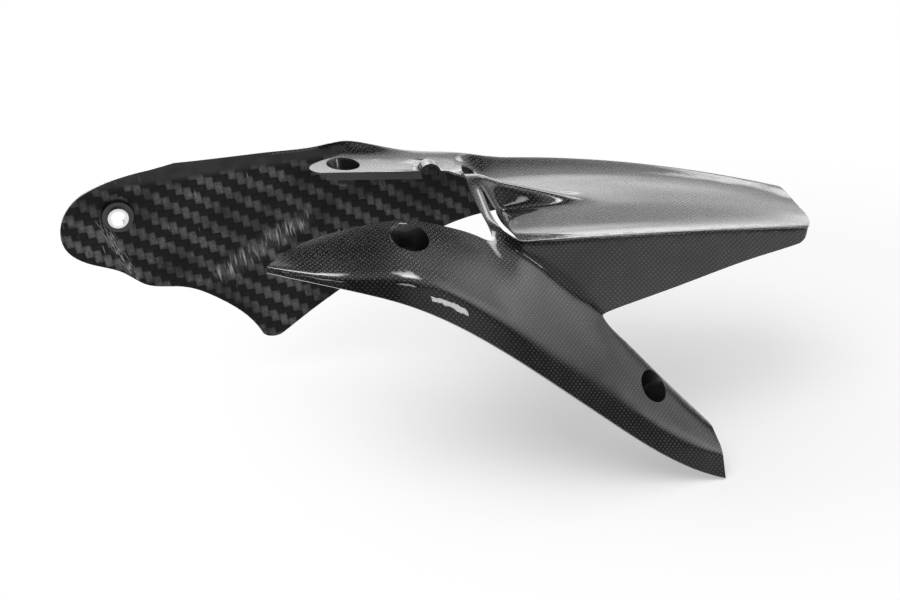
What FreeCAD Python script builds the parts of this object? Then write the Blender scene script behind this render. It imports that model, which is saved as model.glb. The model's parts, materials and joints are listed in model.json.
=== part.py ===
"""Rear mudguard of a motorcycle: one carbon-fibre moulding that carries the blade over the wheel,
the chain guard on the left and the swing-arm panel on the right, with a metal sleeve in the panel's eye.

X runs to the rear, Y to the right of the motorcycle, Z up. The moulding is laid out from the middle plane
of the wheel and from the panel's eye, then shifted so that the centre of the sleeve's bore is the origin.
"""

import FreeCAD
import Part

import math
import os

import Sketcher
from FreeCAD import Placement, Rotation, Vector

# Driving dimensions in millimetres. Runs are along X from the panel's eye, heights are above the eye and
# halves are from the middle plane.
SIZES = {
    # Laminate, and the reach of the rounding to each side of a fold.
    "wall": 2.0,
    "fold_reach": 4.5,
    "crease_reach": 8.0,
    "valley_reach": 8.0,
    # Blade over the wheel, with a raised lip along each side and a dished floor.
    "blade_front": 287.0,
    "blade_middle": 413.0,
    "blade_rear": 546.0,
    "blade_rear_skew": 5.0,
    "lip_half_front": 88.0,
    "lip_half_middle": 76.0,
    "lip_half_rear": 42.6,
    "lip_height_front": 32.5,
    "lip_height_middle": 24.0,
    "lip_height_rear": 3.0,
    "crown_height_front": 27.5,
    "crown_height_middle": 22.5,
    "crown_height_rear": -0.3,
    "dish_half_share": 0.68,
    "dish_depth_front": 8.0,
    "dish_depth_rear": 1.0,
    "flank_flare": 0.23,
    # Chain guard on the left.
    "guard_tip_run": 91.0,
    "guard_end_run": 449.0,
    "guard_half": 137.5,
    "guard_skirt_lean": 0.56,
    "guard_edge_half": 80.0,
    "guard_bulge": 3.0,
    # Panel on the right, with the shoulder that rises above the plate.
    "panel_half": 106.5,
    "panel_flare": 6.5,
    "shoulder_inset": 7.0,
    "shoulder_run": 188.0,
    "shoulder_height": 54.5,
    # Plate ahead of the blade on the right, and the strut that spans the front.
    "plate_half": 48.0,
    "plate_front": 151.0,
    "plate_front_height": 45.5,
    "plate_rear_height": 37.5,
    "plate_flange": 6.0,
    "strut_front": 266.0,
    "strut_width": 8.5,
    "strut_apex_height": 54.0,
    "window_margin": 0.5,
    # Spine that runs out along the blade.
    "spine_top_half": 5.5,
    "spine_foot_half": 17.5,
    "spine_end_run": 357.0,
    # Arch over the brake hose in the plate's edge.
    "arch_run": 247.0,
    "arch_radius": 9.0,
    "arch_depth": 10.0,
    # Screw cups.
    "front_cup_rim": 30.0,
    "rear_cup_rim": 27.0,
    "guard_cup_draw": 6.5,
    "guard_cup_depth": 16.0,
    "front_cup_run": 203.0,
    "front_cup_half": 98.0,
    "front_cup_lean": 16.0,
    "rear_cup_run": 389.7,
    "rear_cup_half": 114.9,
    "plate_cup_rim": 27.0,
    "plate_cup_floor": 14.0,
    "plate_cup_depth": 14.0,
    "plate_cup_run": 180.0,
    "plate_cup_half": 67.0,
    "screw_hole": 6.6,
    # Eye of the panel and its sleeve.
    "eye_inset": 6.5,
    "eye_rim": 25.0,
    "eye_floor": 22.5,
    "sleeve_bore": 12.5,
    "sleeve_wall": 2.2,
    "sleeve_length": 8.0,
    "sleeve_flange": 21.5,
    "sleeve_flange_thickness": 1.2,
}

doc = FreeCAD.newDocument("RearMudguard")
sheet = doc.addObject("Spreadsheet::Sheet", "Sizes")
for row, (alias, number) in enumerate(SIZES.items(), start=1):
    sheet.set("A%d" % row, alias)
    sheet.set("B%d" % row, str(number))
    sheet.setAlias("B%d" % row, alias)
doc.recompute()


def size(alias):
    return float(sheet.get(alias))


wall = size("wall")
fold = size("fold_reach")
blade_front = size("blade_front")
blade_middle = size("blade_middle")
blade_rear = size("blade_rear")
strut_front = size("strut_front")
strut_rear = strut_front + size("strut_width")
guard_tip = size("guard_tip_run")
guard_end = size("guard_end_run")
panel_half = size("panel_half")
shoulder_half = panel_half - size("shoulder_inset")
eye_half = panel_half - size("eye_inset")
shoulder_run = size("shoulder_run")
plate_half = size("plate_half")
plate_front = size("plate_front")


def along(x, stops):
    """Value at x on the smooth line through the stops, level beyond its two ends."""
    if x <= stops[0][0]:
        return stops[0][1]
    if x >= stops[-1][0]:
        return stops[-1][1]
    last = len(stops) - 1
    grades = []
    for i in range(len(stops)):
        before = stops[max(i - 1, 0)]
        after = stops[min(i + 1, last)]
        grades.append((after[1] - before[1]) / (after[0] - before[0]))
    i = max(k for k in range(last) if stops[k][0] <= x)
    (x0, v0), (x1, v1) = stops[i], stops[i + 1]
    run = x1 - x0
    t = (x - x0) / run
    hold = (1.0 + 2.0 * t) * (1.0 - t) ** 2 * v0 + t * t * (3.0 - 2.0 * t) * v1
    lean = t * (1.0 - t) ** 2 * grades[i] - t * t * (1.0 - t) * grades[i + 1]
    return hold + run * lean


def along_guard(x, stops):
    """Value at x on a line whose stops are shares of the chain guard's length."""
    return along((x - guard_tip) / (guard_end - guard_tip), stops)


def along_blade(x, name):
    """Value at x on the parabola through a blade size at the front, the middle and the rear."""
    front, middle, rear = size(name + "_front"), size(name + "_middle"), size(name + "_rear")
    first = (middle - front) / (blade_middle - blade_front)
    second = (rear - middle) / (blade_rear - blade_middle)
    bow = (second - first) / (blade_rear - blade_front)
    return front + (x - blade_front) * (first + bow * (x - blade_middle))


def share_of(x, start, end):
    return min(max((x - start) / (end - start), 0.0), 1.0)


def between(a, b, share):
    return (a[0] + (b[0] - a[0]) * share, a[1] + (b[1] - a[1]) * share)


def toward(a, b, reach):
    """Point at a reach from a on the way to b, at most half of the way."""
    length = math.hypot(b[0] - a[0], b[1] - a[1])
    return between(a, b, min(reach / length, 0.5))


def lip(x):
    return along_blade(x, "lip_half"), along_blade(x, "lip_height")


def dish(x):
    half, height = lip(x)
    depth_front, depth_rear = size("dish_depth_front"), size("dish_depth_rear")
    depth = depth_front + (depth_rear - depth_front) * share_of(x, blade_front, blade_rear)
    return size("dish_half_share") * half, height - depth


def plate_height(x):
    share = (x - plate_front) / (strut_front - plate_front)
    return size("plate_front_height") + (size("plate_rear_height") - size("plate_front_height")) * share


def guard_skirt(x):
    """Height of the skirt that turns down from the crease along the guard's outer side."""
    return along_guard(x, [
        (-0.08, 4.5), (0.0, 4.5), (0.154, 7.5), (0.324, 20.5), (0.402, 22.7), (0.525, 23.0), (0.66, 20.5),
        (0.83, 20.2), (1.0, 17.5)])


def guard_low(x):
    height = along_guard(x, [
        (-0.08, 58.0), (0.0, 47.5), (0.163, 29.1), (0.259, 18.7), (0.332, 7.2), (0.406, -8.9), (0.508, -35.6),
        (0.641, -74.5), (0.803, -121.8), (0.886, -141.9), (0.943, -152.5), (1.0, -160.0), (1.17, -172.0)])
    return -size("guard_half") - size("guard_skirt_lean") * guard_skirt(x), height


def guard_crease(x):
    return -size("guard_half"), guard_low(x)[1] + guard_skirt(x)


def guard_inner(x):
    """Inner side of the chain guard's top: a margin past its edge ahead of the strut, and behind the strut
    the valley in which the guard meets the blade's flank."""
    edge = size("guard_edge_half")
    half = along_guard(x, [
        (-0.08, edge + 20.0), (0.0, edge + 15.0), (0.1425, edge), (0.3, edge - 10.0), (0.4, edge - 9.0),
        (0.49, edge + 4.0), (0.54, edge + 9.0), (0.634, edge + 14.0), (0.7235, edge + 17.5), (0.82, edge + 7.0),
        (1.0, edge + 5.0)])
    height = along_guard(x, [
        (-0.08, 54.0), (0.0, 56.0), (0.1425, 59.0), (0.3, 58.7), (0.38, 52.0), (0.444, 42.0), (0.494, 32.0),
        (0.542, 26.0), (0.589, 14.0), (0.634, 0.3), (0.7235, -26.0), (0.82, -58.0), (1.0, -126.0), (1.17, -165.0)])
    return -half, height


def flank_drop(x):
    return along_guard(x, [
        (0.494, 3.0), (0.542, 8.0), (0.589, 18.0), (0.634, 30.0), (0.7235, 56.0), (0.82, 52.0), (0.975, 38.0),
        (1.14, 26.0), (1.35, 18.0)])


def crest(x):
    """Ridge along the right side: the panel's top edge, its shoulder, then the blade's right lip."""
    join = blade_front + 25.0
    if x >= join + 20.0:
        return lip(x)
    half = along(x, [
        (-60.0, shoulder_half + 2.5), (shoulder_run - 111.0, shoulder_half + 1.0), (shoulder_run, shoulder_half),
        (strut_front - 31.0, shoulder_half - 6.0), (strut_front + 11.0, shoulder_half - 10.5), (join, lip(join)[0]),
        (join + 20.0, lip(join + 20.0)[0])])
    peak = size("shoulder_height")
    height = along(x, [
        (-60.0, peak - 22.5), (0.0, peak - 17.5), (shoulder_run - 111.0, peak - 11.5),
        (shoulder_run - 64.0, peak - 7.7), (shoulder_run - 28.0, peak - 6.5), (shoulder_run, peak),
        (shoulder_run + 24.0, peak - 7.5), (strut_front - 26.0, peak - 13.0), (strut_front + 11.0, peak - 16.0),
        (join, lip(join)[1]), (join + 20.0, lip(join + 20.0)[1])])
    return half, height


def section(x):
    """Control points across the moulding at x, from the chain guard's lower edge to the panel's."""
    low, crease, inner = guard_low(x), guard_crease(x), guard_inner(x)
    lip_half, lip_height = lip(x)
    dish_half, dish_height = dish(x)
    crown_height = along_blade(x, "crown_height")
    flare = size("flank_flare")
    right_crest = crest(x)
    level = plate_height(x)
    blade_share = share_of(x, strut_rear, blade_front)

    strut_foot = between(inner, (-45.0, 44.5), 0.38)
    roof = [
        inner, (strut_foot[0], strut_foot[1] + 3.3), (-45.0, 44.5), (-12.0, 51.0), (0.0, size("strut_apex_height")),
        (12.0, 49.0), (plate_half - 16.0, level + 4.0), (plate_half - 6.0, level + 0.5), (plate_half + 4.0, level)]

    def blade_or_roof(y, point):
        return between((y, along(y, roof)), point, blade_share)

    middle = between(crease, inner, 0.5)
    guard_top = (middle[0], middle[1] + size("guard_bulge"))
    drop = flank_drop(x)
    low_drop = max(drop - size("valley_reach") * 0.8, drop * 0.6)
    top_drop = min(fold, drop * 0.3)
    foot_step = (-58.0 - inner[0]) / 6.0

    def flank(down):
        return -lip_half - flare * down, lip_height - down

    spine_share = 1.0 - share_of(x, strut_rear, size("spine_end_run"))
    rise = (size("strut_apex_height") - crown_height) * (1.0 - share_of(x, strut_front, size("spine_end_run")))
    top = size("spine_top_half")
    foot_end = top + 6.0
    foot = foot_end + (size("spine_foot_half") - foot_end) * spine_share
    floor_half = 0.45 * lip_half
    floor_height = crown_height - 0.3 * (crown_height - dish_height)

    wall_drop = along(x, [
        (strut_front - 66.0, 190.0), (strut_front - 16.0, 140.0), (strut_front + 34.0, 95.0),
        (strut_front + 86.0, 72.0), (strut_front + 174.0, 50.0), (strut_front + 309.0, 32.0)])
    flank_share = share_of(x, shoulder_run + 27.0, blade_front + 18.0)
    panel_top = (panel_half - 1.5, right_crest[1] - 8.0)
    panel_mid = (panel_half + 1.0, right_crest[1] - 60.0)
    panel_low = (panel_half + size("panel_flare"), right_crest[1] - wall_drop)

    def right_flank(down):
        return right_crest[0] + flare * down, right_crest[1] - down

    skirt_top = toward(crease, low, size("crease_reach"))
    return [
        low,
        between(low, skirt_top, 0.5),
        skirt_top,
        crease,
        toward(crease, inner, size("crease_reach") * 1.5),
        guard_top,
        toward(inner, crease, size("valley_reach")),
        inner,
        blade_or_roof(inner[0] + foot_step, flank(low_drop)),
        blade_or_roof(inner[0] + foot_step * 2.0, flank(drop * 0.45)),
        blade_or_roof(inner[0] + foot_step * 3.0, flank(top_drop)),
        blade_or_roof(inner[0] + foot_step * 4.0, (-lip_half, lip_height)),
        blade_or_roof(inner[0] + foot_step * 5.0, toward((-lip_half, lip_height), (-dish_half, dish_height), fold)),
        blade_or_roof(-58.0, (-dish_half, dish_height)),
        blade_or_roof(-38.0, (-floor_half, floor_height)),
        blade_or_roof(-foot - 2.0, (-foot - 2.0, crown_height)),
        blade_or_roof(-foot + 1.0, (-foot + 1.0, crown_height + 0.04 * rise)),
        blade_or_roof(-top - 1.0, (-top - 1.0, crown_height + 0.93 * rise)),
        blade_or_roof(-top + 2.0, (-top + 2.0, crown_height + rise)),
        blade_or_roof(top - 2.0, (top - 2.0, crown_height + rise)),
        blade_or_roof(top + 1.0, (top + 1.0, crown_height + 0.93 * rise)),
        blade_or_roof(foot - 1.0, (foot - 1.0, crown_height + 0.04 * rise)),
        blade_or_roof(foot + 2.0, (foot + 2.0, crown_height)),
        blade_or_roof(plate_half - 5.0, (floor_half, floor_height)),
        between((0.5 * (plate_half + shoulder_half) - 7.0, level), (dish_half, dish_height), blade_share),
        between((right_crest[0] - 10.0, level + 0.5), toward(right_crest, (dish_half, dish_height), fold), blade_share),
        right_crest,
        between(panel_top, right_flank(fold), flank_share),
        between(panel_mid, right_flank(wall_drop * 0.4), flank_share),
        between(panel_low, right_flank(wall_drop), flank_share),
    ]


def stations():
    """Runs of the control sections: close together round the strut and its windows."""
    start, strut_start, blade_start, end = -75.0, strut_front - 41.0, blade_front + 26.0, blade_rear + 34.0
    front_steps, strut_steps, rear_steps = 15, 6, 13
    runs = [start + (strut_start - start) * i / front_steps for i in range(front_steps + 1)]
    runs += [strut_front - 26.0, strut_front - 16.0]
    near, far = strut_front - 7.0, blade_front + 8.0
    runs += [near + (far - near) * i / strut_steps for i in range(strut_steps + 1)]
    runs += [blade_front + 16.0]
    runs += [blade_start + (end - blade_start) * i / rear_steps for i in range(rear_steps + 1)]
    return runs


def knots_for(marks):
    """Knots of a cubic spline whose control points lie at the given marks."""
    inner = [sum(marks[i:i + 3]) / 3.0 for i in range(1, len(marks) - 3)]
    return [marks[0]] + inner + [marks[-1]]


def spline_surface(poles, u_knots, v_knots):
    """Cubic spline surface on a net of control points."""
    surface = Part.BSplineSurface()
    u_mults = [4] + [1] * (len(u_knots) - 2) + [4]
    v_mults = [4] + [1] * (len(v_knots) - 2) + [4]
    surface.buildFromPolesMultsKnots(poles, u_mults, v_mults, u_knots, v_knots, False, False, 3, 3)
    return surface


def thick_skin(net, splits, valley_row, crest_row):
    """Solid of one wall: a smooth outer skin on the net, faced in strips, and a ruled inner skin below it."""
    rows, columns = len(net), len(net[0])
    runs = [line[0].x for line in net]
    widths = [0.0]
    for j in range(1, columns):
        steps = [(line[j] - line[j - 1]).Length for line in net]
        widths.append(widths[-1] + sum(steps) / rows)
    u_knots, v_knots = knots_for(runs), knots_for(widths)
    outer = spline_surface(net, u_knots, v_knots)

    inner_lines = []
    for width in sorted(set(widths) - {widths[crest_row]} | {0.5 * (widths[valley_row] + widths[valley_row + 1])}):
        points = []
        for run in runs:
            normal = outer.normal(run, width)
            if run in (runs[0], runs[-1]):
                normal.x = 0.0
                normal.normalize()
            points.append(outer.value(run, width) - normal * wall)
        curve = Part.BSplineCurve()
        curve.interpolate(points, Parameters=runs)
        inner_lines.append(curve.toShape())

    faces = []
    marks = [widths[0]] + [widths[j] for j in splits] + [widths[-1]]
    for start, end in zip(marks[:-1], marks[1:]):
        strip = outer.copy()
        strip.segment(runs[0], runs[-1], start, end)
        faces.append(strip.toShape())
    for left, right in zip(inner_lines[:-1], inner_lines[1:]):
        faces.append(Part.makeRuledSurface(left, right, 1))
    faces.append(Part.makeRuledSurface(outer.vIso(widths[0]).toShape(), inner_lines[0], 1))
    faces.append(Part.makeRuledSurface(outer.vIso(widths[-1]).toShape(), inner_lines[-1], 1))
    for side, at in ((runs[0], 0), (runs[-1], -1)):
        edges = []
        for start, end in zip(marks[:-1], marks[1:]):
            edges.append(outer.uIso(side).toShape(start, end))
        corners = [line.Vertexes[at].Point for line in inner_lines]
        edges.append(Part.makeLine(outer.value(side, widths[-1]), corners[-1]))
        for right, left in zip(reversed(corners[1:]), reversed(corners[:-1])):
            edges.append(Part.makeLine(right, left))
        edges.append(Part.makeLine(corners[0], outer.value(side, widths[0])))
        faces.append(Part.Face(Part.Wire(Part.__sortEdges__(edges))))
    shell = Part.makeShell(faces)
    shell.sewShape()
    solid = Part.makeSolid(shell)
    if solid.Volume < 0.0:
        solid.reverse()
    return outer, solid


net = [[Vector(x, y, z) for y, z in section(x)] for x in stations()]
outer_skin, skin = thick_skin(net, [5, 13, 24], 7, 26)


FAR = 400.0


def plan(x, y):
    return Vector(x, y, -FAR)


def left_side(x, z):
    return Vector(x, -FAR, z)


def right_side(x, z):
    return Vector(x, FAR, z)


def prism(view, depth, stretches):
    """Prism on a closed outline of straight stretches (two points) and smooth ones (more points)."""
    edges = []
    for stretch in stretches:
        points = [view(a, b) for a, b in stretch]
        if len(points) == 2:
            edges.append(Part.makeLine(points[0], points[1]))
        else:
            curve = Part.BSplineCurve()
            curve.interpolate(points)
            edges.append(curve.toShape())
    return Part.Face(Part.Wire(edges)).extrude(depth)


def joined(*stretches):
    """Stretches closed into one outline by straight lines."""
    outline = []
    for i, stretch in enumerate(stretches):
        outline.append(stretch)
        outline.append([stretch[-1], stretches[(i + 1) % len(stretches)][0]])
    return outline


up = Vector(0.0, 0.0, 2.0 * FAR)
edge_half = size("guard_edge_half")
guard_length = guard_end - guard_tip
panel_edge = shoulder_half - 1.0
shoulder_front = shoulder_run - 2.0


def guard_run(share):
    return guard_tip + guard_length * share


# The opening between panel and guard: plate's front and near edge, strut, then the guard's inner edge.
opening = prism(plan, up, joined(
    [(-FAR, panel_edge), (shoulder_front - 6.0, panel_edge)],
    [(shoulder_front, panel_edge - 1.5), (shoulder_front - 4.0, panel_edge - 10.0), (plate_front + 12.0, 75.0),
     (plate_front, 58.0), (plate_front + 7.0, plate_half)],
    [(plate_front + 9.0, plate_half), (strut_front - 7.0, plate_half)],
    [(strut_front - 4.0, plate_half - 1.0), (strut_front - 1.0, plate_half - 8.0), (strut_front - 1.0, 10.0),
     (strut_front - 1.0, 0.0), (strut_front, -40.0), (strut_front + 3.0, -76.0)],
    [(strut_front + 3.0, -79.0), (strut_front, -83.0), (strut_front - 7.0, -edge_half - 2.0),
     (guard_run(0.38), -edge_half + 1.0), (guard_run(0.304), -edge_half), (guard_run(0.23), -edge_half - 5.5),
     (guard_run(0.14), -edge_half - 15.0), (guard_run(0.075), -edge_half - 28.0),
     (guard_run(0.03), -edge_half - 42.0), (guard_run(-0.01), -edge_half - 62.0)],
    [(guard_run(-0.01), -FAR), (-FAR, -FAR)],
))

# Windows between the strut and the blade, one to each side of the spine.
window_rear = blade_front - size("window_margin")
near_window = prism(plan, up, joined(
    [(strut_rear - 1.5, -9.0), (strut_rear - 0.5, -40.0), (strut_rear + 2.0, -68.0), (strut_rear + 6.0, -77.0),
     (window_rear, -79.0), (window_rear + 3.0, -74.0), (window_rear + 2.0, -50.0), (window_rear, -18.0)],
))
far_window = prism(plan, up, joined(
    [(strut_rear - 2.0, 9.0), (strut_rear - 1.0, 40.0), (strut_rear + 1.0, 62.0), (strut_rear + 5.0, 70.0),
     (window_rear - 2.0, 71.0), (window_rear, 64.0), (window_rear, 40.0), (window_rear, 18.0)],
))

# The rounded rear end of the blade.
skew = size("blade_rear_skew")
rear_corner = size("lip_half_rear") + 6.0
rear_trim = prism(plan, up, joined(
    [(blade_rear - 26.0 - skew, -rear_corner - 40.0), (blade_rear - 17.0 - skew, -rear_corner - 8.0),
     (blade_rear - 8.5 - skew, -rear_corner + 1.0), (blade_rear - 0.4 - skew, -rear_corner + 16.5),
     (blade_rear - 1.5, -rear_corner + 30.0), (blade_rear, 6.0), (blade_rear - 1.8, rear_corner - 22.0),
     (blade_rear - 5.4, rear_corner - 5.6), (blade_rear - 14.0, rear_corner + 4.0),
     (blade_rear - 30.0, rear_corner + 42.0)],
    [(blade_rear - 30.0, FAR), (blade_rear + FAR, FAR)],
    [(blade_rear + FAR, -FAR), (blade_rear - 26.0 - skew, -FAR)],
))

# The notch on the left between the flank's lower edge and the guard's rear edge.
left_trim = prism(left_side, Vector(0.0, FAR - 15.0, 0.0), joined(
    [(guard_run(0.729), -30.4), (guard_run(0.78), -27.1), (guard_run(0.889), -20.2), (guard_run(0.988), -14.0),
     (guard_run(1.094), -8.9), (blade_rear - 31.0, -6.8), (blade_rear - 20.0, -6.0), (blade_rear + FAR, -6.0)],
    [(blade_rear + FAR, -FAR), (guard_end - 8.0, -FAR)],
    [(guard_end - 8.0, -182.0), (guard_end - 8.0, -136.0)],
    [(guard_end - 10.5, -127.0), (guard_run(0.938), -115.5), (guard_run(0.903), -102.7), (guard_run(0.84), -78.2),
     (guard_run(0.766), -48.7), (guard_run(0.739), -37.4), (guard_run(0.729), -31.4)],
))

# The rounded lower corner of the blade's left flank at the rear.
corner_round = prism(left_side, Vector(0.0, FAR - rear_corner + 4.0, 0.0), joined(
    [(blade_rear - 31.0, -7.2), (blade_rear - 19.0, -5.6), (blade_rear - 14.0, -2.1), (blade_rear - 11.4, 3.9)],
    [(blade_rear + FAR, 3.9), (blade_rear + FAR, -FAR)],
))

# The panel's outline on the right, with its tab, and the right flank's lower edge.
right_trim = prism(right_side, Vector(0.0, 15.0 - FAR, 0.0), joined(
    [(60.0, 47.5), (20.0, 37.5), (-16.0, 26.5), (-38.0, 10.5), (-46.5, -9.0), (-43.5, -27.0), (-26.0, -41.5),
     (2.0, -52.5), (20.0, -65.0), (50.0, -70.0), (80.0, -84.0), (102.0, -101.5), (116.0, -121.0)],
    [(119.0, -123.0), (125.0, -124.0), (131.0, -122.5)],
    [(134.0, -120.5), (154.0, -105.0), (180.0, -86.5), (230.0, -56.5), (276.0, -31.5), (310.0, -20.5),
     (352.0, -16.5), (440.0, -12.5), (500.0, -6.5), (blade_rear - 20.0, -5.0), (blade_rear + FAR, -5.0)],
    [(blade_rear + FAR, -FAR), (-FAR, -FAR)],
    [(-FAR, FAR), (60.0, FAR)],
))

shell = skin
for trim in (opening, near_window, far_window, rear_trim, left_trim, corner_round, right_trim):
    shell = shell.cut(trim)


def skin_at(x, y):
    """Point of the outer skin above x and y, and the skin's outward direction there."""
    probe = Part.makeLine(Vector(x, y, FAR), Vector(x, y, -FAR))
    point = probe.distToShape(outer_skin.toShape())[1][0][1]
    normal = outer_skin.normal(*outer_skin.parameter(point))
    return point, normal if normal.z > 0.0 else normal * -1.0


def frustum(base, axis, start, end, start_radius, end_radius):
    """Cone along the axis between two distances from the base."""
    return Part.makeCone(start_radius, end_radius, end - start, base + axis * start, axis)


def under_skin(tool, base, axis):
    """What lies below the middle of the wall, out of a tool set into the skin at the base."""
    reach = 24.0
    run, width = outer_skin.parameter(base)
    patch = outer_skin.copy()
    patch.segment(run - reach, run + reach, width - reach, width + reach)
    above = patch.toShape().extrude(axis * reach)
    above.translate(axis * (-0.5 * wall))
    return tool.cut(above)


def cup(shell, base, axis, rim, floor, depth, hole):
    """Sinks a flat-floored screw cup into the shell, moulded in the same wall."""
    slope = (rim - floor) / 2.0 / depth
    reach = 12.0
    thick = wall * math.hypot(1.0, slope)
    rim_radius, floor_radius = rim / 2.0, floor / 2.0
    body = frustum(base, axis, -depth - wall, 0.5 * reach,
                   floor_radius + thick - slope * wall, rim_radius + thick + slope * 0.5 * reach)
    hollow = frustum(base, axis, -depth, reach, floor_radius, rim_radius + slope * reach)
    bore = Part.makeCylinder(hole / 2.0, 3.0 * wall, base - axis * (depth + 2.0 * wall), axis)
    return shell.fuse(under_skin(body, base, axis)).cut(hollow).cut(bore)


def leaning(degrees):
    """Upright direction leant to the left by an angle."""
    return Vector(0.0, -math.sin(math.radians(degrees)), math.cos(math.radians(degrees)))


draw, depth = size("guard_cup_draw"), size("guard_cup_depth")
front_point = skin_at(size("front_cup_run"), -size("front_cup_half"))[0]
front_axis = leaning(size("front_cup_lean"))
rear_point, rear_axis = skin_at(size("rear_cup_run"), -size("rear_cup_half"))
for point, axis, rim in ((front_point, front_axis, size("front_cup_rim")),
                         (rear_point, rear_axis, size("rear_cup_rim"))):
    shell = cup(shell, point, axis, rim, rim - 2.0 * draw, depth, size("screw_hole"))

upright = Vector(0.0, 0.0, 1.0)
plate_point = skin_at(size("plate_cup_run"), size("plate_cup_half"))[0]
shell = cup(shell, plate_point, upright, size("plate_cup_rim"), size("plate_cup_floor"),
            size("plate_cup_depth"), size("screw_hole"))

# Flange folded down along the plate's near edge, and the arch that lifts it over the brake hose.
flange_start, flange_end = plate_front + 12.0, strut_front - 7.0
flange_depth = size("plate_flange")


def flange_side(x, z):
    return Vector(x, plate_half, z)


flange_steps = 6
flange_runs = [flange_start + (flange_end - flange_start) * i / flange_steps for i in range(flange_steps + 1)]
flange = prism(flange_side, Vector(0.0, wall, 0.0), joined(
    [(x, skin_at(x, plate_half + 0.5 * wall)[0].z - 0.5 * wall) for x in flange_runs],
    [(flange_end, plate_height(flange_end) - flange_depth), (flange_start, plate_height(flange_start) - flange_depth)],
))

arch_axis = Vector(0.0, 1.0, 0.0)
arch_radius, arch_depth = size("arch_radius"), size("arch_depth")
arch_base = Vector(size("arch_run"), plate_half, plate_height(size("arch_run")) - wall)


def hose_form(radius, start):
    """Round-ended bar along the hose's way across the plate's edge."""
    bar = Part.makeCylinder(radius, arch_depth - start, arch_base + arch_axis * start, arch_axis)
    return bar.fuse(Part.makeSphere(radius, arch_base + arch_axis * arch_depth))


lower_half = Part.makeBox(4.0 * arch_radius, 4.0 * arch_radius, 2.0 * arch_radius,
                          arch_base + Vector(-2.0 * arch_radius, -arch_radius, -2.0 * arch_radius))
shell = shell.fuse([flange, hose_form(arch_radius, 0.0).cut(lower_half)])
shell = shell.cut(hose_form(arch_radius - wall, -wall))

# Eye of the panel: a boss that stands inward, dished from outside, with the sleeve's seat in its floor.
outward = Vector(0.0, 1.0, 0.0)
eye_floor_face = Vector(0.0, eye_half + 0.5 * wall, 0.0)
probe = Part.makeLine(Vector(0.0, FAR, 0.0), Vector(0.0, 0.0, 0.0))
panel_face = probe.distToShape(outer_skin.toShape())[1][0][1]
sleeve_seat = size("sleeve_bore") + 2.0 * size("sleeve_wall")
shell = cup(shell, panel_face, outward, size("eye_rim"), size("eye_floor"), panel_face.y - eye_floor_face.y, sleeve_seat)

moulding = doc.addObject("Part::Feature", "MudguardShell")
moulding.Label = "mudguard_shell"
moulding.Shape = shell
moulding.Placement = Placement(Vector(0.0, -eye_half, 0.0), Rotation())

# Sleeve bonded into the panel's eye: a turned tube whose flange lies on the outer face of the eye's floor.
sleeve = doc.addObject("PartDesign::Body", "PanelSleeve")
sleeve.Label = "panel_sleeve"
profile = sleeve.newObject("Sketcher::SketchObject", "SleeveProfile")
profile.AttachmentSupport = [(next(f for f in sleeve.Origin.OriginFeatures if f.Role == "XY_Plane"), "")]
profile.MapMode = "FlatFace"

inner_radius = 0.5 * size("sleeve_bore")
outer_radius = inner_radius + size("sleeve_wall")
flange_radius = 0.5 * size("sleeve_flange")
end = 0.5 * size("sleeve_length")
seat = 0.5 * wall
flange_top = seat + size("sleeve_flange_thickness")
corners = [
    Vector(inner_radius, -end, 0.0), Vector(outer_radius, -end, 0.0), Vector(outer_radius, seat, 0.0),
    Vector(flange_radius, seat, 0.0), Vector(flange_radius, flange_top, 0.0), Vector(outer_radius, flange_top, 0.0),
    Vector(outer_radius, end, 0.0), Vector(inner_radius, end, 0.0)]
for i, corner in enumerate(corners):
    profile.addGeometry(Part.LineSegment(corner, corners[(i + 1) % len(corners)]))
for i in range(len(corners)):
    profile.addConstraint(Sketcher.Constraint("Coincident", i, 2, (i + 1) % len(corners), 1))
    profile.addConstraint(Sketcher.Constraint("Vertical" if i % 2 else "Horizontal", i))

ORIGIN = (-1, 1)
across = [(0, "bore_radius", "Sizes.sleeve_bore / 2"),
          (1, "tube_radius", "Sizes.sleeve_bore / 2 + Sizes.sleeve_wall"),
          (3, "flange_radius", "Sizes.sleeve_flange / 2"),
          (5, "collar_radius", "Sizes.sleeve_bore / 2 + Sizes.sleeve_wall")]
for line, name, formula in across:
    number = profile.addConstraint(Sketcher.Constraint("DistanceX", *ORIGIN, line, 1, corners[line].x))
    profile.renameConstraint(number, name)
    profile.setExpression("Constraints." + name, formula)
lengthwise = [(2, "seat", "Sizes.wall / 2"),
              (4, "flange_top", "Sizes.wall / 2 + Sizes.sleeve_flange_thickness"),
              (6, "outer_end", "Sizes.sleeve_length / 2")]
for line, name, formula in lengthwise:
    number = profile.addConstraint(Sketcher.Constraint("DistanceY", *ORIGIN, line, 1, corners[line].y))
    profile.renameConstraint(number, name)
    profile.setExpression("Constraints." + name, formula)
number = profile.addConstraint(Sketcher.Constraint("DistanceY", 0, 1, *ORIGIN, end))
profile.renameConstraint(number, "inner_end")
profile.setExpression("Constraints.inner_end", "Sizes.sleeve_length / 2")

turning = sleeve.newObject("PartDesign::Revolution", "SleeveTurning")
turning.Profile = profile
turning.ReferenceAxis = (profile, ["V_Axis"])
turning.Angle = 360.0

doc.recompute()
for item in doc.Objects:
    if "Invalid" in item.State or "Error" in item.State:
        raise RuntimeError(item.Name + " did not compute")

os.makedirs("parts", exist_ok=True)
for piece in (moulding, sleeve):
    shape = piece.Shape
    if shape.isNull() or not shape.isValid() or len(shape.Solids) != 1:
        raise RuntimeError(piece.Label + " is not one sound solid")
    shape.exportStep("parts/" + piece.Label + ".step")
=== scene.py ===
import json
import math

import bmesh
import bpy
import numpy as np
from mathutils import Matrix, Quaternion, Vector
from mathutils.bvhtree import BVHTree
from mathutils.kdtree import KDTree


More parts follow.
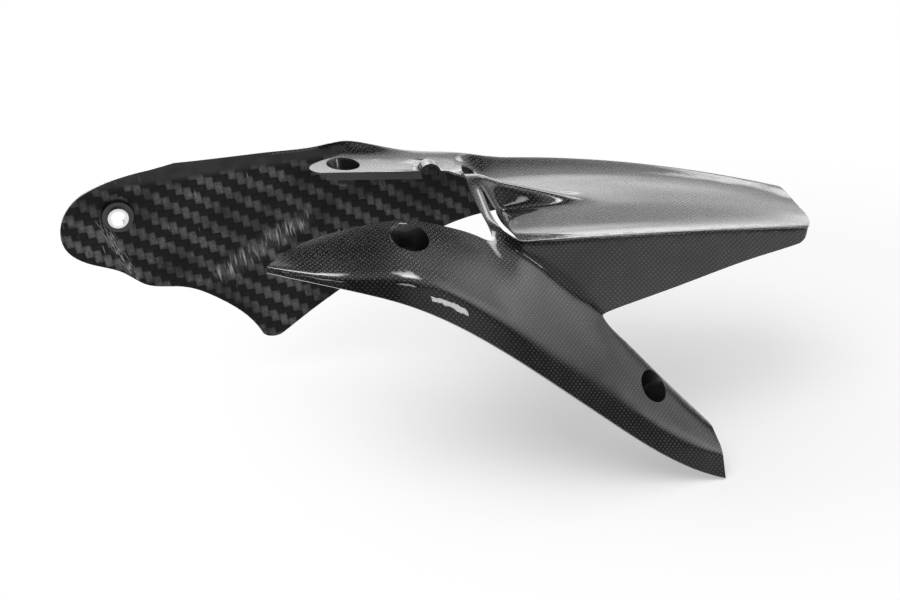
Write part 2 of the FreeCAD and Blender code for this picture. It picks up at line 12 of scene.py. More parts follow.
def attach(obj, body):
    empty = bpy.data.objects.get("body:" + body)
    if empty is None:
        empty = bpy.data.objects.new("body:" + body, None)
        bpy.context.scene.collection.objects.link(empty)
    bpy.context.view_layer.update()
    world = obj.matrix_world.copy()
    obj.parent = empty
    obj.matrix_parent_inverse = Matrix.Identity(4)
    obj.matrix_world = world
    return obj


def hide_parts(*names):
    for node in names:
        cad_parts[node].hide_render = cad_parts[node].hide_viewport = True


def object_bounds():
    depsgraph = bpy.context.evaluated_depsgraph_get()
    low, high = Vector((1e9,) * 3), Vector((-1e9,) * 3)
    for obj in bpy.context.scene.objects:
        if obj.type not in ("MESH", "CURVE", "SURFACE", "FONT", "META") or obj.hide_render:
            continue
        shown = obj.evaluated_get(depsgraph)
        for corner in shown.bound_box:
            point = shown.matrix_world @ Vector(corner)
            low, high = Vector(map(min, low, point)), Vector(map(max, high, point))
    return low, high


# Lengths are in metres and angles in degrees. +X is the rear of the motorcycle, +Y its right and +Z up.
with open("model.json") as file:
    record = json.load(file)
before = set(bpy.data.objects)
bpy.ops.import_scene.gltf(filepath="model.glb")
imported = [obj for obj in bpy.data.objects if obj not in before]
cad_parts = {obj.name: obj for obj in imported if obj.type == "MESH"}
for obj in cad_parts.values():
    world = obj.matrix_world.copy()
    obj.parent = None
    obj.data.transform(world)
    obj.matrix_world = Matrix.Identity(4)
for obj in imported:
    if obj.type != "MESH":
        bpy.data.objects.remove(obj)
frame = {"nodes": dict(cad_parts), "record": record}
cad_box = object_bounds()
scene = bpy.context.scene

# Kinds of face on the shell, which are also the numbers of its materials.
GLOSS, BARE, EDGE, RESIN = 0, 1, 2, 3


# Pieces

MERGE_REACH = 2e-6
SLIVER = 1e-6

# A ray from just under a face finds the other side of the wall, if the face belongs to the skin.
WALL = 0.002
RAY_START = 2e-5
RAY_REACH = 1.8 * WALL
OPPOSED = -0.75

# Cosine of the largest turn between neighbouring faces of one side of the skin, and between a side and the
# faces that join it afterwards.
SKIN_TURN = 0.15
RIM_TURN = 0.9

# The gloss side faces this way on the whole.
OUTWARD = Vector((0.0, -0.5, 0.85))

# Rims of the screw cups and of the eye, inside which the moulding is smooth black resin.
RESIN_RADIUS = {
    "guard_front_hole": 0.0149,
    "guard_rear_hole": 0.0134,
    "plate_hole": 0.0134,
    "sleeve_bore": 0.0150,
}
CUP_REACH = 0.03

# The eye's boss lies left of this Y, and the plate's flange in this box, with its face to the left.
EYE_FACE_Y = 0.0048
FLANGE_BOX = ((0.155, -0.0530, 0.028), (0.263, -0.0495, 0.046))
FLANGE_FACING = -0.5


def merged_copy(node, name):
    """New piece with the node's mesh, its points merged, standing for the node."""
    work = bmesh.new()
    work.from_mesh(frame["nodes"][node].data)
    bmesh.ops.remove_doubles(work, verts=work.verts, dist=MERGE_REACH)
    bmesh.ops.dissolve_degenerate(work, dist=SLIVER, edges=work.edges)
    work.verts.ensure_lookup_table()
    mesh = bpy.data.meshes.new(name)
    mesh.from_pydata([v.co[:] for v in work.verts], [], [[v.index for v in f.verts] for f in work.faces])
    work.free()
    mesh.validate()
    piece = bpy.data.objects.new(name, mesh)
    scene.collection.objects.link(piece)
    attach(piece, "root")
    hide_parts(node)
    return piece


def spread(start, joins, agree):
    """Numbers of the faces reached from the start over edges at which the two normals agree."""
    reached, todo = {start.index}, [start]
    while todo:
        item = todo.pop()
        for other in (face for edge in item.edges for face in edge.link_faces):
            if other.index not in reached and joins(other) and item.normal.dot(other.normal) > agree:
                reached.add(other.index)
                todo.append(other)
    return reached


def sides_of(mesh):
    """Marks each face as gloss outer skin, bare inner skin or cut edge."""
    work = bmesh.new()
    work.from_mesh(mesh)
    work.faces.ensure_lookup_table()
    tree = BVHTree.FromBMesh(work)
    skin = []
    for face in work.faces:
        normal = face.normal
        hit = tree.ray_cast(face.calc_center_median() - normal * RAY_START, -normal, RAY_REACH)
        skin.append(hit[0] is not None and work.faces[hit[2]].normal.dot(normal) < OPPOSED)
    sides = [EDGE] * len(work.faces)
    for face in work.faces:
        if not skin[face.index] or sides[face.index] != EDGE:
            continue
        patch = spread(face, lambda f: skin[f.index], SKIN_TURN)
        facing = sum((work.faces[i].normal * work.faces[i].calc_area() for i in patch), Vector())
        for i in patch:
            sides[i] = GLOSS if facing.dot(OUTWARD) > 0.0 else BARE
    for face in work.faces:
        if skin[face.index]:
            for i in spread(face, lambda f: sides[f.index] == EDGE, RIM_TURN):
                sides[i] = sides[face.index]
    work.free()
    return sides


def mark_resin(mesh, sides):
    """Marks the insides of the cups, the eye's boss and the plate's flange as smooth resin."""
    for mount in frame["record"]["mounts"]:
        base, axis = Vector(mount["pos_m"]), Vector(mount["axis"])
        radius = RESIN_RADIUS[mount["name"]]
        eye = mount["name"] == "sleeve_bore"
        for face in mesh.polygons:
            arm = face.center - base
            depth = arm.dot(axis)
            inside = (arm - axis * depth).length < radius and abs(depth) < CUP_REACH
            shown = sides[face.index] == GLOSS or (eye and face.center.y < EYE_FACE_Y)
            if inside and shown:
                sides[face.index] = RESIN
    low, high = FLANGE_BOX
    for face in mesh.polygons:
        inside = all(a < c < b for a, b, c in zip(low, high, face.center))
        if inside and face.normal.y < FLANGE_FACING:
            sides[face.index] = RESIN


shell = merged_copy("mudguard_shell", "shell")
sides = sides_of(shell.data)
mark_resin(shell.data, sides)
shell.data.polygons.foreach_set("material_index", sides)

sleeve = merged_copy("panel_sleeve", "sleeve")


# Cloth laid flat, so that the weaves follow the skin

SOLVER_STEPS = 4000
SOLVER_REST = 1e-12
TINY = 1e-12


def unit(vectors):
    """The vectors brought to length 1."""
    return vectors / np.maximum(np.linalg.norm(vectors, axis=-1, keepdims=True), TINY)


def corners_of(mesh):
    """Points of the mesh, and the point numbers of each triangle."""
    points = np.zeros(len(mesh.vertices) * 3)
    mesh.vertices.foreach_get("co", points)
    triangles = np.zeros(len(mesh.polygons) * 3, dtype=np.int32)
    mesh.polygons.foreach_get("vertices", triangles)
    return points.reshape(-1, 3), triangles.reshape(-1, 3)


def solve(rows, columns, weights, right):
    """Least-squares values at the points of a sheet of triangles, by conjugate gradients."""
    count = len(right)
    own = rows == columns
    scale = 1.0 / np.maximum(np.bincount(rows[own], weights[own], count), TINY)
    found = np.zeros(count)
    rest = right.copy()
    step = scale * rest
    size = rest @ step
    first = size
    for _ in range(SOLVER_STEPS):
        moved = np.bincount(rows, weights * step[columns], count)
        share = size / (step @ moved)
        found += share * step
        rest -= share * moved
        scaled = scale * rest
        grown = rest @ scaled
        if grown < SOLVER_REST * first:
            break
        step = scaled + grown / size * step
        size = grown
    return found


def unfold(piece, sides):
    """Lays each side of the skin flat, in metres, with U along the length of the object."""
    mesh = piece.data
    points, triangles = corners_of(mesh)
    sides = np.array(sides)
    flat = np.zeros((len(points), 2))
    result = np.zeros((len(mesh.loops), 2))
    for side in (GLOSS, BARE):
        chosen = triangles[sides == side]
        used, local = np.unique(chosen, return_inverse=True)
        local = local.reshape(-1, 3)
        a, b, c = points[chosen].transpose(1, 0, 2)
        opposite = np.stack([c - b, a - c, b - a], 1)
        normal = np.cross(opposite[:, 2], -opposite[:, 1])
        twice_area = np.maximum(np.linalg.norm(normal, axis=1), TINY)
        normal /= twice_area[:, None]
        slope = np.cross(normal[:, None, :], opposite) / twice_area[:, None, None]
        along = unit(np.array([1.0, 0.0, 0.0]) - normal * normal[:, :1])
        across = np.cross(normal, along)
        rows = np.repeat(local, 3, axis=1).ravel()
        columns = np.tile(local, (1, 3)).ravel()
        weights = (np.einsum("tik,tjk->tij", slope, slope) * twice_area[:, None, None] / 2.0).ravel()
        for axis, wanted in enumerate((along, across)):
            pull = np.einsum("tik,tk->ti", slope, wanted) * twice_area[:, None] / 2.0
            right = np.bincount(local.ravel(), pull.ravel(), len(used))
            flat[used, axis] = solve(rows, columns, weights, right)
        result[np.repeat(sides == side, 3)] = flat[chosen.ravel()]
    layer = mesh.uv_layers.new(name="sheet")
    layer.data.foreach_set("uv", result.ravel())


unfold(shell, sides)


# Finer mesh with smooth shading

# Samples under each fitted patch, how sharply unlike normals are left out, and a small pull to flatness.
FIT_SAMPLES = 26
FIT_LIKENESS = 14
FIT_FLATNESS = 1e-4
OFF_AXIS = 0.8
LEAST_REACH = 1e-6
LARGEST_SHIFT = 0.0006
SHELL_SHARP = 28.0
SLEEVE_SHARP = 30.0


def smooth(piece, angle):
    """Shades the piece smooth, but for the edges that turn more than the angle."""
    mesh = piece.data
    mesh.polygons.foreach_set("use_smooth", [True] * len(mesh.polygons))
    mesh.set_sharp_from_angle(angle=math.radians(angle))
    mesh.update()


def point_normals(points, triangles):
    """Area-weighted normal at each point of the given triangles."""
    corner = points[triangles]
    facing = np.cross(corner[:, 1] - corner[:, 0], corner[:, 2] - corner[:, 0])
    normals = np.zeros_like(points)
    for k in range(3):
        np.add.at(normals, triangles[:, k], facing)
    return unit(normals)


def fitted(samples, sample_normals, places, normals):
    """Lays a small quadric patch through the samples round each place.

    Returns the shift that puts each place on its patch, and the patch's normal there.
    """
    tree = KDTree(len(samples))
    for number, point in enumerate(samples):
        tree.insert(point, number)
    tree.balance()
    found = [tree.find_n(place, FIT_SAMPLES) for place in places]
    near = np.array([[item[1] for item in row] for row in found])
    away = np.array([[item[2] for item in row] for row in found])
    reach = away[:, 2 * FIT_SAMPLES // 3, None] + LEAST_REACH
    alike = np.maximum(np.einsum("pnk,pk->pn", sample_normals[near], normals), 0.0) ** FIT_LIKENESS
    weight = np.exp(-(away / reach) ** 2) * alike
    helper = np.where(np.abs(normals[:, :1]) < OFF_AXIS, [[1.0, 0.0, 0.0]], [[0.0, 1.0, 0.0]])
    side = unit(np.cross(normals, helper))
    other = np.cross(normals, side)
    arm = (samples[near] - places[:, None]) / reach[..., None]
    a, b, height = (np.einsum("pnk,pk->pn", arm, axis) for axis in (side, other, normals))
    terms = np.stack([np.ones_like(a), a, b, a * a, a * b, b * b], -1)
    left = np.einsum("pni,pn,pnj->pij", terms, weight, terms) + FIT_FLATNESS * np.eye(6)
    right = np.einsum("pni,pn,pn->pi", terms, weight, height)
    rise, slope_a, slope_b = np.linalg.solve(left, right[..., None])[:, :3, 0].T
    turned = unit(normals - slope_a[:, None] * side - slope_b[:, None] * other)
    return rise[:, None] * reach * normals, turned


def refine(piece):
    """Splits each face in four, lays the new points on the skin and shades it with the skin's normals."""
    mesh = piece.data
    coarse, coarse_triangles = corners_of(mesh)
    coarse_sides = np.array([face.material_index for face in mesh.polygons])
    work = bmesh.new()
    work.from_mesh(mesh)
    bmesh.ops.subdivide_edges(work, edges=work.edges, cuts=1, use_grid_fill=True)
    bmesh.ops.triangulate(work, faces=[face for face in work.faces if len(face.verts) > 3])
    work.to_mesh(mesh)
    work.free()
    points, triangles = corners_of(mesh)
    sides = np.array([face.material_index for face in mesh.polygons])
    rim = np.isin(np.arange(len(points)), triangles[np.isin(sides, (EDGE, RESIN))])
    shading = {}
    for side in (GLOSS, BARE):
        known = np.unique(coarse_triangles[coarse_sides == side])
        rough = point_normals(coarse, coarse_triangles[coarse_sides == side])[known]
        used = np.unique(triangles[sides == side])
        normals = point_normals(points, triangles[sides == side])
        shift, turned = fitted(coarse[known], rough, points[used], normals[used])
        small = np.linalg.norm(shift, axis=1) < LARGEST_SHIFT
        fresh = (used >= len(coarse)) & ~rim[used] & small
        points[used[fresh]] += shift[fresh]
        normals[used] = turned
        shading[side] = normals
    mesh.vertices.foreach_set("co", points.ravel())
    smooth(piece, SHELL_SHARP)
    corners = np.zeros(len(mesh.loops) * 3)
    mesh.corner_normals.foreach_get("vector", corners)
    corners = corners.reshape(-1, 3)
    for side, normals in shading.items():
        corners[np.repeat(sides == side, 3)] = normals[triangles[sides == side].ravel()]
    mesh.normals_split_custom_set(corners.tolist())


refine(shell)
smooth(sleeve, SLEEVE_SHARP)


# Materials


class Sheet:
    """Short way to write a material's node tree."""

    def __init__(self, name):
        self.material = bpy.data.materials.new(name)
        self.material.use_nodes = True
        self.tree = self.material.node_tree
        self.bsdf = self.tree.nodes["Principled BSDF"]

    def node(self, kind, **values):
        made = self.tree.nodes.new(kind)
        for key, value in values.items():
            setattr(made, key, value)
        return made

    def put(self, socket, value):
        """Links a socket to another one, or sets it to a constant."""
        if isinstance(value, bpy.types.NodeSocket):
            self.tree.links.new(value, socket)
        else:
            socket.default_value = value

    def set(self, name, value):
        self.put(self.bsdf.inputs[name], value)

    def place(self):
        """Place in the object's own frame."""
        return self.node("ShaderNodeTexCoord").outputs["Object"]

    def laid_flat(self):
        """Place on the unfolded skin, along the object and across it."""
        return self.split(self.node("ShaderNodeUVMap", uv_map="sheet").outputs[0])[:2]

    def math(self, operation, *values):
        made = self.node("ShaderNodeMath", operation=operation)
        for socket, value in zip(made.inputs, values):
            self.put(socket, value)
        return made.outputs[0]

    def times(self, a, b):
        return self.math("MULTIPLY", a, b)

    def mix(self, factor, a, b):
        made = self.node("ShaderNodeMix", data_type="FLOAT")
        self.put(made.inputs[0], factor)
        self.put(made.inputs[2], a)
        self.put(made.inputs[3], b)
        return made.outputs[0]

    def ramp(self, value, low, high, low_out=0.0, high_out=1.0):
        made = self.node("ShaderNodeMapRange", interpolation_type="SMOOTHSTEP")
        for socket, item in zip(made.inputs, (value, low, high, low_out, high_out)):
            self.put(socket, item)
        return made.outputs[0]

    def noise(self, vector, scale, detail=2.0):
        made = self.node("ShaderNodeTexNoise")
        self.put(made.inputs["Vector"], vector)
        self.put(made.inputs["Scale"], scale)
        self.put(made.inputs["Detail"], detail)
        return made.outputs["Fac"]

    def patchy(self, vector, scale, detail, low, high, start=0.3, end=0.7):
        """Noise brought between a low and a high value."""
        return self.ramp(self.noise(vector, scale, detail), start, end, low, high)

    def vector(self, x, y, z=0.0):
        made = self.node("ShaderNodeCombineXYZ")
        for socket, item in zip(made.inputs, (x, y, z)):
            self.put(socket, item)
        return made.outputs[0]

    def grey(self, tone):
        return self.vector(tone, tone, tone)

    def split(self, vector):
        made = self.node("ShaderNodeSeparateXYZ")
        self.put(made.inputs[0], vector)
        return made.outputs

    def vectors(self, operation, a, b=None, output="Vector"):
        made = self.node("ShaderNodeVectorMath", operation=operation)
        self.put(made.inputs[0], a)
        if b is not None:
            self.put(made.inputs[1], b)
        return made.outputs[output]

    def distance(self, a, b):
        return self.vectors("LENGTH", self.vectors("SUBTRACT", a, b), output="Value")

    def clamp(self, value):
        made = self.node("ShaderNodeClamp")
        self.put(made.inputs[0], value)
        return made.outputs[0]

    def bump(self, height, distance, strength):
        made = self.node("ShaderNodeBump")
        self.put(made.inputs["Height"], height)
        self.put(made.inputs["Distance"], distance)
        self.put(made.inputs["Strength"], strength)
        return made.outputs[0]


def hump(sheet, share, power):
    """1 in the middle of a share from 0 to 1, falling to 0 at both ends."""
    side = sheet.math("ABSOLUTE", sheet.math("MULTIPLY_ADD", share, 2.0, -1.0))
    return sheet.math("SUBTRACT", 1.0, sheet.math("POWER", side, power))


def drifting(sheet, place, scale, detail, reach):
    """Slow sideways drift of the tows, up to half the reach either way."""
    return sheet.math("MULTIPLY_ADD", sheet.noise(place, scale, detail), reach, -0.5 * reach)


def gloss_coat(sheet, place, weight=1.0):
    """Clear coat with the faint unevenness of sprayed lacquer."""
    peel_scale, peel_depth = 140.0, 0.00002
    sheet.set("Coat Weight", weight)
    sheet.set("Coat Roughness", 0.02)
    sheet.set("Coat IOR", 1.5)
    sheet.set("Coat Normal", sheet.bump(sheet.noise(place, peel_scale, 1.0), peel_depth, 0.5))


def gloss_carbon():
    """Plain weave of narrow tows under clear coat, with painted sheen on the tows and painted shade between
    them.
    """
    tow = 0.002
    relief = 0.00012
    # The lighter tone is painted sheen on the crowns of the tows; the crosswise tows get a share of it.
    dark, sheen_tone, cross_share, blue = 0.001, 0.055, 0.18, 1.03
    sheet = Sheet("carbon_gloss")
    place = sheet.place()
    x, y = sheet.laid_flat()
    drift = drifting(sheet, place, scale=28.0, detail=1.0, reach=0.8 * tow)
    u = sheet.math("DIVIDE", sheet.math("ADD", x, drift), tow)
    v = sheet.math("DIVIDE", sheet.math("ADD", y, drift), tow)
    crossing = sheet.math("ADD", sheet.math("FLOOR", u), sheet.math("FLOOR", v))
    lengthwise = sheet.math("FLOORED_MODULO", crossing, 2.0)
    along, across = sheet.math("FRACT", u), sheet.math("FRACT", v)
    dash = sheet.times(hump(sheet, along, 4.0), hump(sheet, across, 2.0))
    dip = sheet.times(hump(sheet, along, 2.0), hump(sheet, across, 4.0))
    # Painted sheen and shade: each tow lighter along its crown, darker towards its edges and where tows
    # meet.
    light = sheet.mix(lengthwise, sheet.times(dip, cross_share), dash)
    uneven = sheet.patchy(place, scale=55.0, detail=3.0, low=0.75, high=1.15)
    tone = sheet.times(sheet.mix(light, dark, sheen_tone), uneven)
    sheet.set("Base Color", sheet.vector(tone, tone, sheet.times(tone, blue)))
    sheet.set("Metallic", 0.85)
    sheet.set("Roughness", sheet.mix(lengthwise, 0.52, 0.42))
    sheet.set("Normal", sheet.bump(sheet.mix(lengthwise, dip, dash), relief, 0.8))
    gloss_coat(sheet, place)
    return sheet.material


def smooth_resin():
    """Black resin inside the cups and along the flange, with a little dust in the lacquer."""
    sheet = Sheet("carbon_resin")
    place = sheet.place()
    dust = sheet.patchy(place, scale=700.0, detail=3.0, low=0.004, high=0.016, start=0.55, end=0.8)
    sheet.set("Base Color", sheet.grey(dust))
    sheet.set("Roughness", sheet.patchy(place, scale=90.0, detail=2.0, low=0.30, high=0.45))
    gloss_coat(sheet, place, weight=0.45)
    return sheet.material


def near_line(sheet, place, start, end, reach):
    """1 on the straight line between two points, falling to 0 at a reach from it."""
    run = Vector(end) - Vector(start)
    arm = sheet.vectors("SUBTRACT", place, start)
    along = sheet.vectors("DOT_PRODUCT", arm, tuple(run), output="Value")
    foot = sheet.node("ShaderNodeVectorMath", operation="SCALE")
    foot.inputs[0].default_value = run
    sheet.put(foot.inputs["Scale"], sheet.clamp(sheet.math("DIVIDE", along, run.length_squared)))
    return sheet.ramp(sheet.distance(arm, foot.outputs[0]), 0.0, reach, 1.0, 0.0)


def brushed(sheet, x, z, lean, fine, long, detail, layer=0.0):
    """Noise drawn out into strokes that lean with the height."""
    leaning = sheet.math("MULTIPLY_ADD", z, lean, x)
    return sheet.noise(sheet.vector(sheet.times(leaning, fine), sheet.times(z, long), layer), 1.0, detail)


def scuffs(sheet, place):
    """Marks rubbed into the panel's inner face: a pale streak by the eye, hatching and short scratches."""
    streak_start, streak_end, streak_reach = (-0.0135, 0.0, -0.006), (0.0115, 0.0, -0.058), 0.0065
    hatch_start, hatch_end, hatch_reach = (0.085, 0.0, -0.060), (0.150, 0.0, -0.018), 0.013
    haze = 0.08
    scratch_share = 0.7
    panel_side, panel_end = (-0.02, -0.01), (0.22, 0.18)
    x, y, z = sheet.split(place)
    side_view = sheet.vector(x, 0.0, z)
    streak = near_line(sheet, side_view, streak_start, streak_end, streak_reach)
    brushing = brushed(sheet, x, z, lean=0.45, fine=900.0, long=140.0, detail=3.0)
    streak = sheet.times(streak, sheet.ramp(brushing, 0.45, 0.72))
    hatch = near_line(sheet, side_view, hatch_start, hatch_end, hatch_reach)
    strokes = brushed(sheet, x, z, lean=0.18, fine=520.0, long=60.0, detail=2.0)
    hatch = sheet.times(hatch, sheet.ramp(strokes, 0.50, 0.70, haze, 1.0))
    loose = brushed(sheet, x, z, lean=0.18, fine=300.0, long=45.0, detail=1.0, layer=7.0)
    patch = sheet.patchy(place, scale=30.0, detail=2.0, low=0.0, high=1.0, start=0.5, end=0.62)
    scratches = sheet.times(sheet.times(sheet.ramp(loose, 0.70, 0.80), patch), scratch_share)
    on_panel = sheet.times(sheet.ramp(y, *panel_side), sheet.ramp(x, *panel_end))
    marks = sheet.math("MAXIMUM", sheet.math("MAXIMUM", streak, hatch), scratches)
    return sheet.times(marks, on_panel)


def twill(sheet, place):
    """2x2 twill: whether the upright tow lies on top, how high its crown is, and the fibres along it."""
    warp, warp_turn = 0.00644, math.radians(13.4)
    weft, weft_turn = 0.00572, math.radians(6.7)
    fibre_long, fibre_fine = 0.7, 14.0
    x, y = sheet.laid_flat()
    drift = drifting(sheet, place, scale=16.0, detail=2.0, reach=0.005)
    over_warp = sheet.math("MULTIPLY_ADD", y, math.sin(warp_turn), sheet.times(x, math.cos(warp_turn)))
    over_weft = sheet.math("MULTIPLY_ADD", x, -math.sin(weft_turn), sheet.times(y, math.cos(weft_turn)))
    u = sheet.math("DIVIDE", sheet.math("ADD", over_warp, drift), warp)
    v = sheet.math("DIVIDE", sheet.math("ADD", over_weft, drift), weft)
    part_u, part_v = sheet.math("FRACT", u), sheet.math("FRACT", v)
    crossing = sheet.math("ADD", sheet.math("FLOOR", u), sheet.math("FLOOR", v))
    step = sheet.math("FLOORED_MODULO", crossing, 4.0)
    upright = sheet.math("GREATER_THAN", step, 1.5)
    float_u = sheet.times(sheet.math("ADD", step, part_u), 0.5)
    float_v = sheet.times(sheet.math("ADD", sheet.math("SUBTRACT", step, 2.0), part_v), 0.5)
    crown_u = sheet.times(hump(sheet, float_u, 4.0), hump(sheet, part_v, 3.0))
    crown_v = sheet.times(hump(sheet, float_v, 4.0), hump(sheet, part_u, 3.0))
    fibres_u = sheet.noise(sheet.vector(sheet.times(u, fibre_long), sheet.times(v, fibre_fine)), 1.0)
    fibres_v = sheet.noise(sheet.vector(sheet.times(u, fibre_fine), sheet.times(v, fibre_long)), 1.0)
    return upright, sheet.mix(upright, crown_u, crown_v), sheet.mix(upright, fibres_u, fibres_v)


def bare_carbon():
    """Coarse twill as it left the mould, with painted sheen on the upright tows and painted shade between
    the tows, darker and smooth along the panel's top, and scuffed in places.
    """
    # The lighter tone is painted sheen on the upright tows, and the share kept between tows is painted
    # shade.
    dark, sheen_tone, worn_tone = 0.005, 0.062, 0.34
    shade_between_tows = 0.4
    relief, fibre_relief = 0.0003, 0.25
    top_band_slope, top_band_start, top_band_end = 0.0775, 0.021, 0.028
    sheet = Sheet("carbon_bare")
    place = sheet.place()
    upright, crown, fibres = twill(sheet, place)
    # Painted shade: each tow lighter on its crown and darker towards its edges and between tows.
    painted_tow_shade = sheet.math("MULTIPLY_ADD", crown, 1.0 - shade_between_tows, shade_between_tows)
    weave = sheet.times(sheet.mix(upright, dark, sheen_tone), painted_tow_shade)
    weave = sheet.times(weave, sheet.ramp(fibres, 0.25, 0.75, 0.7, 1.3))
    blotches = sheet.patchy(place, scale=26.0, detail=4.0, low=0.35, high=1.35, start=0.32, end=0.68)
    grain = sheet.patchy(place, scale=420.0, detail=3.0, low=0.72, high=1.28)
    weave = sheet.times(sheet.times(weave, blotches), grain)
    x, _, z = sheet.split(place)
    # Band along the panel's top that is darker, smoother and glossier, without the weave.
    top_band = sheet.ramp(sheet.math("MULTIPLY_ADD", x, -top_band_slope, z), top_band_start, top_band_end)
    worn = scuffs(sheet, place)
    # Dark tone of the band along the panel's top.
    resin = sheet.patchy(place, scale=60.0, detail=4.0, low=0.005, high=0.018)
    tone = sheet.mix(top_band, weave, resin)
    sheet.set("Base Color", sheet.grey(sheet.mix(worn, tone, worn_tone)))
    sheet.set("Roughness", sheet.mix(top_band, sheet.mix(worn, 0.42, 0.75), 0.28))
    sheet.set("Specular IOR Level", sheet.mix(top_band, 0.15, 0.30))
    open_crown = sheet.times(crown, sheet.math("SUBTRACT", 1.0, top_band))
    height = sheet.math("ADD", open_crown, sheet.times(fibres, fibre_relief))
    sheet.set("Normal", sheet.bump(height, relief, 0.7))
    return sheet.material


def cut_edge():
    """Sanded rim of the laminate, sealed with lacquer."""
    sheet = Sheet("carbon_edge")
    place = sheet.place()
    grain = sheet.noise(place, 900.0, 3.0)
    sheet.set("Base Color", sheet.grey(sheet.mix(grain, 0.06, 0.20)))
    sheet.set("Roughness", sheet.mix(grain, 0.25, 0.45))
    gloss_coat(sheet, place)
    return sheet.material


def turned_metal():
    """Satin aluminium with fine turning rings round the sleeve's axis."""
    ring_scale, ring_depth = 6000.0, 0.00002
    sheet = Sheet("sleeve_metal")
    x, y, z = sheet.split(sheet.place())
    radius = sheet.math("SQRT", sheet.math("ADD", sheet.times(x, x), sheet.times(z, z)))
    rings = sheet.noise(sheet.vector(radius, y), ring_scale)
    sheet.set("Base Color", (0.78, 0.78, 0.8, 1.0))
    sheet.set("Metallic", 1.0)
    sheet.set("Roughness", sheet.mix(rings, 0.25, 0.42))
    sheet.set("Normal", sheet.bump(rings, ring_depth, 0.5))
    return sheet.material


for material in (gloss_carbon(), bare_carbon(), cut_edge(), smooth_resin()):
    shell.data.materials.append(material)
sleeve.data.materials.append(turned_metal())


# Floor

FLOOR_REACH = 12.0
FLOOR_GAP = 0.0004
FLOOR_TONE = 0.93

# The floor shows its shadows round this spot and fades to plain white farther out.
SHADOW_SPOT = (0.55, -0.05)
SHADOW_NEAR, SHADOW_FAR = 0.20, 0.50
LEAST_WHITE = 0.30


def floor():
    """White floor with shadows near the object, and plain white in view and in reflections beyond."""
    level = cad_box[0].z - FLOOR_GAP
    corners = [(-1, -1), (1, -1), (1, 1), (-1, 1)]
    mesh = bpy.data.meshes.new("floor")
    mesh.from_pydata([(FLOOR_REACH * x, FLOOR_REACH * y, level) for x, y in corners], [], [(0, 1, 2, 3)])
    plane = bpy.data.objects.new("floor", mesh)
    scene.collection.objects.link(plane)
    sheet = Sheet("floor_white")
    sheet.set("Base Color", (FLOOR_TONE, FLOOR_TONE, FLOOR_TONE, 1.0))
    sheet.set("Roughness", 0.9)
    sheet.set("Specular IOR Level", 0.0)
    white = sheet.node("ShaderNodeEmission")
    white.inputs["Strength"].default_value = 1.0
    path = sheet.node("ShaderNodeLightPath")
    shown = sheet.math("MAXIMUM", path.outputs["Is Camera Ray"], path.outputs["Is Glossy Ray"])
    away = sheet.distance(sheet.place(), (*SHADOW_SPOT, level))
    share = sheet.ramp(away, SHADOW_NEAR, SHADOW_FAR, LEAST_WHITE, 1.0)
    blend = sheet.node("ShaderNodeMixShader")
    sheet.put(blend.inputs[0], sheet.times(shown, share))
    sheet.put(blend.inputs[1], sheet.bsdf.outputs[0])
    sheet.put(blend.inputs[2], white.outputs[0])
    sheet.put(sheet.tree.nodes["Material Output"].inputs["Surface"], blend.outputs[0])
    mesh.materials.append(sheet.material)


floor()


# Lamps and studio

CENTRE = Vector((0.25, -0.1, -0.05))


def direction(azimuth, elevation):
    """Way from the object; azimuth 0 is behind it, as the camera sees it, and 90 on the right."""
    turn, lift = math.radians(azimuth), math.radians(elevation)
    return Vector((math.sin(turn) * math.cos(lift), math.cos(turn) * math.cos(lift), math.sin(lift)))


def panel_light(name, azimuth, elevation, distance, width, height, radiance, roll, seen):
    """Flat lamp aimed at the object's middle, seen in reflections or not."""
    way = direction(azimuth, elevation)
    light = bpy.data.lights.new(name, "AREA")
    light.shape = "RECTANGLE"
    light.size, light.size_y = width, height
    light.energy = radiance * math.pi * width * height
    lamp = bpy.data.objects.new(name, light)
    scene.collection.objects.link(lamp)
    lamp.location = CENTRE + way * distance
    lamp.rotation_mode = "QUATERNION"
    rolled = Quaternion((0.0, 0.0, 1.0), math.radians(roll))
    lamp.rotation_quaternion = (-way).to_track_quat("-Z", "Y") @ rolled
    lamp.visible_camera = False
    lamp.visible_glossy = seen


panel_light("side_strip", azimuth=138.5, elevation=27.2, distance=3.0, width=0.76, height=0.085,
            radiance=12.0, roll=-22.0, seen=True)
panel_light("overhead", azimuth=-150.0, elevation=60.0, distance=3.2, width=2.0, height=2.0,
            radiance=3.1, roll=0.0, seen=False)

# Soft panels of the studio, seen only in reflections: azimuth, elevation, the angles at which each starts to
# fade and is gone, and its strength.
SOFT_PANELS = [
    # Behind the object.
    (20.0, 22.0, 12.0, 32.0, 1.1),
    (12.0, 10.0, 6.0, 18.0, 0.4),
    (13.0, 20.0, 3.0, 9.0, 0.8),
    (-9.0, 24.0, 8.0, 20.0, 3.5),
    (31.0, 28.0, 2.0, 7.0, 4.0),
    # On the right.
    (88.0, 28.0, 10.0, 26.0, 1.05),
    (90.0, 52.0, 10.0, 30.0, 0.9),
    (101.0, 32.0, 3.0, 17.0, 0.8),
    # In front, on the right.
    (140.0, 25.0, 8.0, 22.0, 0.45),
    # Small and bright.
    (69.0, 62.0, 2.5, 7.0, 10.0),
    (82.0, 62.0, 2.5, 7.0, 10.0),
    (147.0, 44.0, 1.5, 4.0, 6.0),
]
ROOM_LIGHT = 0.76
HORIZON_GLOW, UPPER_GLOW = 0.9, 0.06
GLOW_RISE = 0.28


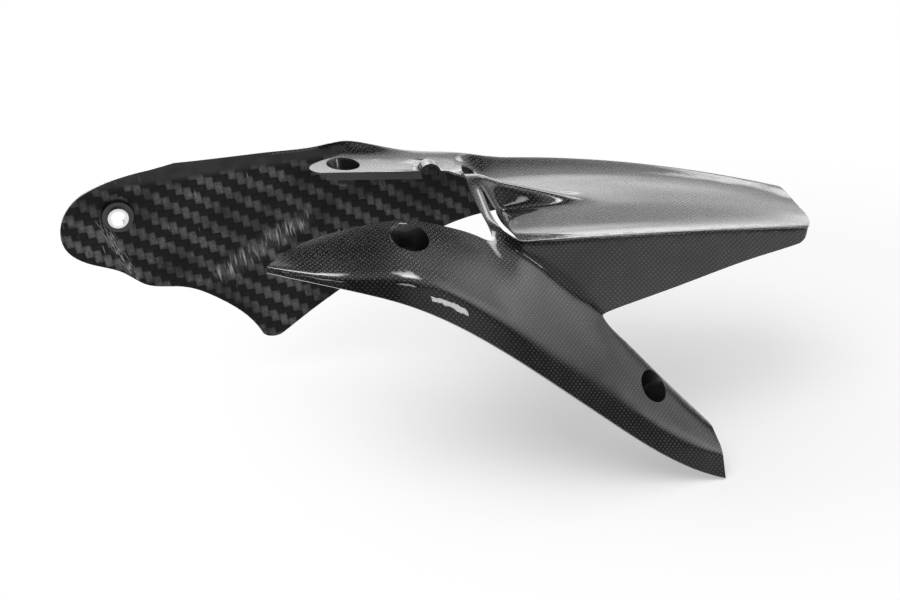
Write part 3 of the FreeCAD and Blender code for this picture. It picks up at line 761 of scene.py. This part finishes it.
def studio_world():
    """White for the camera, even light for matt surfaces, soft panels in a dim room for reflections."""
    world = bpy.data.worlds.new("studio")
    scene.world = world
    world.use_nodes = True
    tree = world.node_tree

    def node(kind, **values):
        made = tree.nodes.new(kind)
        for key, value in values.items():
            setattr(made, key, value)
        return made

    def fade(value, low, high, low_out, high_out):
        made = node("ShaderNodeMapRange", interpolation_type="SMOOTHSTEP")
        tree.links.new(value, made.inputs[0])
        for socket, number in zip(made.inputs[1:5], (low, high, low_out, high_out)):
            socket.default_value = number
        return made.outputs[0]

    def glow(strength):
        made = node("ShaderNodeBackground")
        made.inputs[0].default_value = (1.0, 1.0, 1.0, 1.0)
        if isinstance(strength, float):
            made.inputs[1].default_value = strength
        else:
            tree.links.new(strength, made.inputs[1])
        return made.outputs[0]

    def blend(factor, first, second):
        made = node("ShaderNodeMixShader")
        for socket, link in zip(made.inputs, (factor, first, second)):
            tree.links.new(link, socket)
        return made.outputs[0]

    way = node("ShaderNodeTexCoord").outputs["Generated"]
    parts = node("ShaderNodeSeparateXYZ")
    tree.links.new(way, parts.inputs[0])
    seen = fade(parts.outputs["Z"], 0.0, GLOW_RISE, HORIZON_GLOW, UPPER_GLOW)
    for azimuth, elevation, full, rim, strength in SOFT_PANELS:
        facing = node("ShaderNodeVectorMath", operation="DOT_PRODUCT")
        tree.links.new(way, facing.inputs[0])
        facing.inputs[1].default_value = direction(azimuth, elevation)
        outer, inner = math.cos(math.radians(rim)), math.cos(math.radians(full))
        panel = fade(facing.outputs["Value"], outer, inner, 0.0, strength)
        total = node("ShaderNodeMath", operation="ADD")
        tree.links.new(seen, total.inputs[0])
        tree.links.new(panel, total.inputs[1])
        seen = total.outputs[0]
    path = node("ShaderNodeLightPath")
    room = blend(path.outputs["Is Glossy Ray"], glow(ROOM_LIGHT), glow(seen))
    shown = blend(path.outputs["Is Camera Ray"], room, glow(1.0))
    tree.links.new(shown, tree.nodes["World Output"].inputs[0])


studio_world()


# Camera

CAMERA_PLACE = Vector((-0.105, -1.784, 0.750))
CAMERA_AIM = Vector((0.253, -0.100, -0.053))

camera = bpy.data.objects.new("camera", bpy.data.cameras.new("camera"))
scene.collection.objects.link(camera)
camera.location = CAMERA_PLACE
camera.rotation_mode = "QUATERNION"
camera.rotation_quaternion = (CAMERA_AIM - CAMERA_PLACE).to_track_quat("-Z", "Y")
camera.data.lens = 95.0
camera.data.sensor_width = 36.0
scene.camera = camera
scene.view_settings.view_transform = "Standard"
